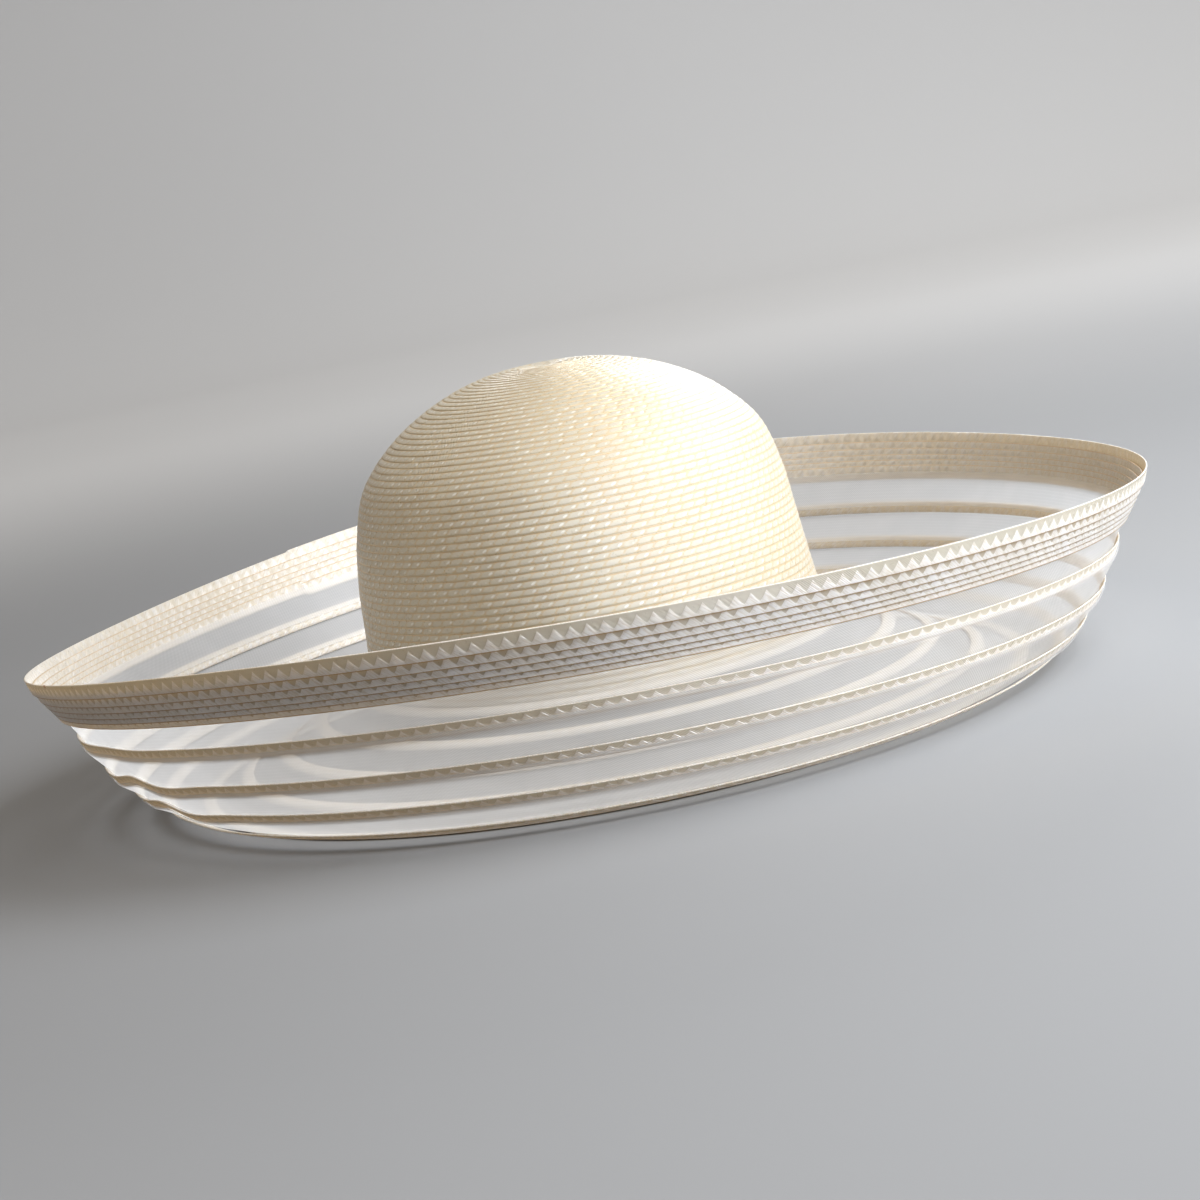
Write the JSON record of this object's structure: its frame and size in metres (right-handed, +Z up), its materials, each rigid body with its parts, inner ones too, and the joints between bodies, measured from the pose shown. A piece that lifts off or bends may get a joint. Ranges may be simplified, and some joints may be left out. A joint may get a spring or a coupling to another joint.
{
  "type": "wide-brim hat",
  "caption": "Straw hat with a deep domed crown and a wide upturned brim of flat braid rows joined by sheer mesh bands.",
  "frame": {"origin": "on the floor under the middle of the brim, the hat resting on its lowest braid row", "axes": "+Z up through the crown, front of the hat towards -Y"},
  "size_m": [0.4302, 0.451, 0.1393],
  "materials": {
    "crown_straw": "sewn ivory braid, soft gloss",
    "brim_straw": "sewn ivory braid, soft gloss",
    "crin": "sheer white mesh"
  },
  "bodies": {
    "root": {"crown": "crown_straw", "foot_row": "brim_straw", "braid_row_h": "brim_straw", "braid_row_g": "brim_straw", "braid_row_f": "brim_straw", "base_row": "brim_straw", "braid_row_d": "brim_straw", "braid_row_c": "brim_straw", "braid_row_b": "brim_straw", "braid_row_a": "brim_straw", "rim_band": "brim_straw", "crin_band_1": "crin", "crin_band_2": "crin", "crin_band_3": "crin", "crin_band_4": "crin", "crin_band_5": "crin", "crin_band_6": "crin", "crin_band_7": "crin", "crin_band_8": "crin", "crin_band_9": "crin"}
  },
  "joints": []
}
